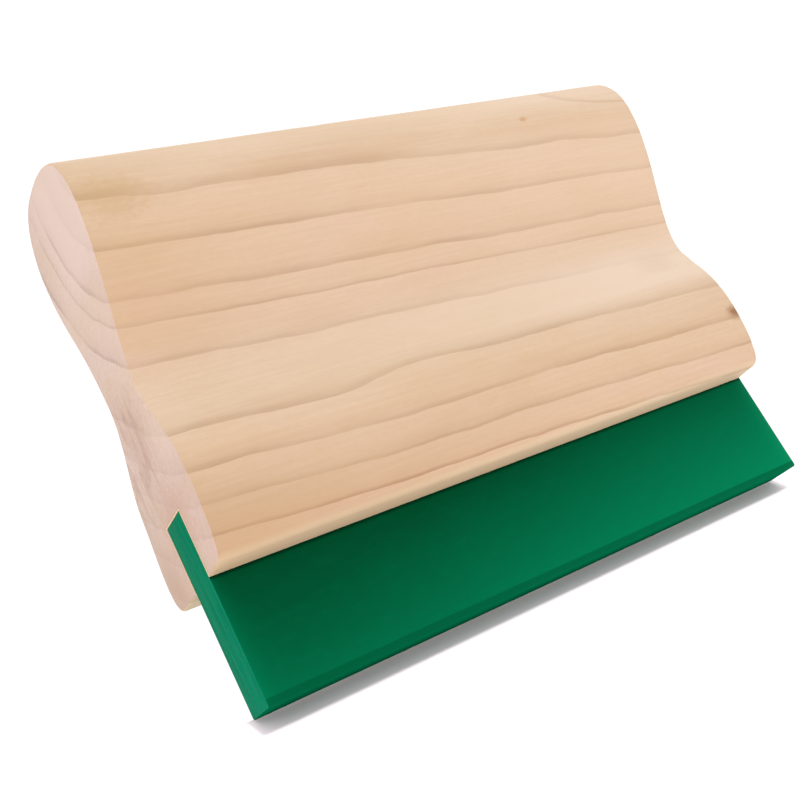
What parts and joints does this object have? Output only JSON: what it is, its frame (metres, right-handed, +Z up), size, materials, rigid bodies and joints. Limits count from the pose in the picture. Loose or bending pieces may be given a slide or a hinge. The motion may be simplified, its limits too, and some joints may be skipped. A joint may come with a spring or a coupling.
{
  "type": "squeegee applicator",
  "caption": "Hand squeegee for screen printing: a shaped one-piece wooden grip with a flat square-edged polyurethane blade bonded in a slot along its lower edge.",
  "frame": {"origin": "centre of the blade's flat working face", "axes": "+X along the length, +Z up from the working edge to the crown of the grip, -Y the front, which the grip leans towards"},
  "size_m": [0.152, 0.0409, 0.116],
  "materials": {
    "bare_wood": "sanded, unfinished",
    "green_polyurethane": "smooth cast, semi-gloss",
    "dried_adhesive": "dried glue line"
  },
  "bodies": {
    "root": {"handle": "bare_wood", "blade": "green_polyurethane", "adhesive_film": "dried_adhesive"}
  },
  "joints": []
}
